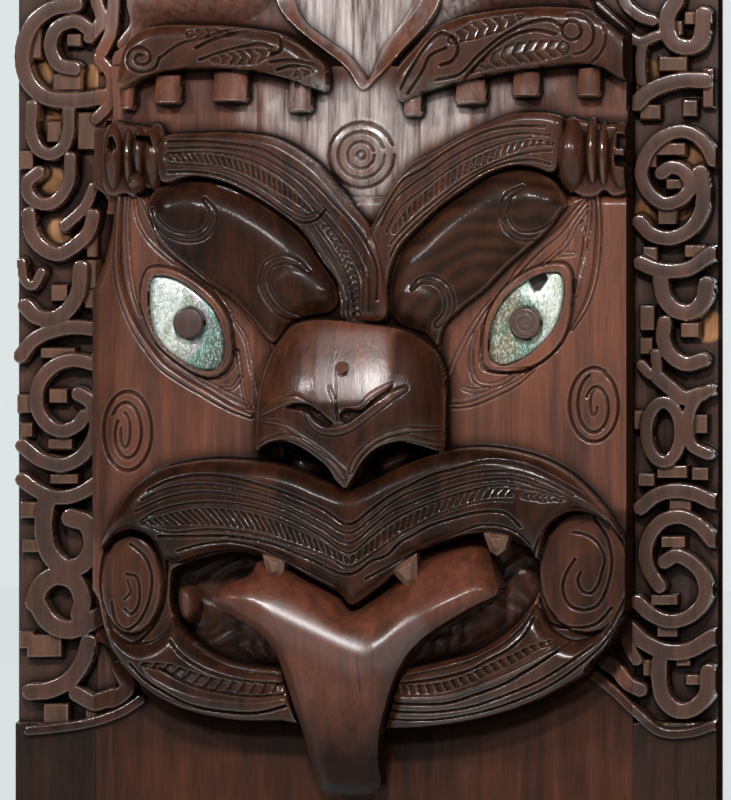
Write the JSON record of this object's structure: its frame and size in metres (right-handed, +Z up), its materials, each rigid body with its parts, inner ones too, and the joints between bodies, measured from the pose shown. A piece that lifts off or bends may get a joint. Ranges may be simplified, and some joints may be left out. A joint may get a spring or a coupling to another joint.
{
  "type": "carved ancestor panel",
  "caption": "Carved wooden wall panel: a great mask with shell eyes, scrolled lips and an out-thrust tongue between borders of interlaced loops.",
  "frame": {"origin": "middle of the flat back face, at half the height and half the width", "axes": "+Z up along the grain, +X to the viewer's right, +Y into the wall; the carving faces -Y"},
  "size_m": [0.6, 0.142, 0.74],
  "materials": {
    "mask_wood": "dark red-brown hardwood, waxed and rubbed to a gloss on the ridges, near black in the cuts",
    "tongue_wood": "dark red-brown hardwood, the most polished surface of the carving",
    "plug_wood": "very dark wood plug",
    "border_wood": "dark brown hardwood with a duller, lighter orange ground in the cuts",
    "tooth_wood": "paler, drier wood with faceted knife cuts",
    "corner_tooth_wood": "dark red-brown hardwood",
    "eye_shell": "iridescent sea shell, silver-white with green and blue play",
    "eye_gum": "dark gum",
    "peg_wood": "dark polished wood",
    "batten_wood": "plain sawn wood",
    "dowel_wood": "plain turned wood",
    "screw_steel": "dull steel"
  },
  "bodies": {
    "root": {"centre_slab": "mask_wood", "tongue": "tongue_wood", "nose_plug": "plug_wood", "left_side_board": "border_wood", "right_side_board": "border_wood", "tooth_inner_left": "tooth_wood", "tooth_inner_right": "tooth_wood", "tooth_outer_right": "tooth_wood", "tooth_corner_left": "corner_tooth_wood", "left_eye_shell": "eye_shell", "right_eye_shell": "eye_shell", "left_eye_bedding": "eye_gum", "right_eye_bedding": "eye_gum", "left_eye_peg": "peg_wood", "right_eye_peg": "peg_wood", "upper_batten": "batten_wood", "lower_batten": "batten_wood", "upper_screw_left_a": "screw_steel", "upper_screw_left_b": "screw_steel", "upper_screw_middle_a": "screw_steel", "upper_screw_middle_b": "screw_steel", "upper_screw_right_a": "screw_steel", "upper_screw_right_b": "screw_steel", "lower_screw_left_a": "screw_steel", "lower_screw_left_b": "screw_steel", "lower_screw_middle_a": "screw_steel", "lower_screw_middle_b": "screw_steel", "lower_screw_right_a": "screw_steel", "lower_screw_right_b": "screw_steel", "left_seam_dowel_upper": "dowel_wood", "left_seam_dowel_middle": "dowel_wood", "left_seam_dowel_lower": "dowel_wood", "right_seam_dowel_upper": "dowel_wood", "right_seam_dowel_middle": "dowel_wood", "right_seam_dowel_lower": "dowel_wood"}
  },
  "joints": []
}
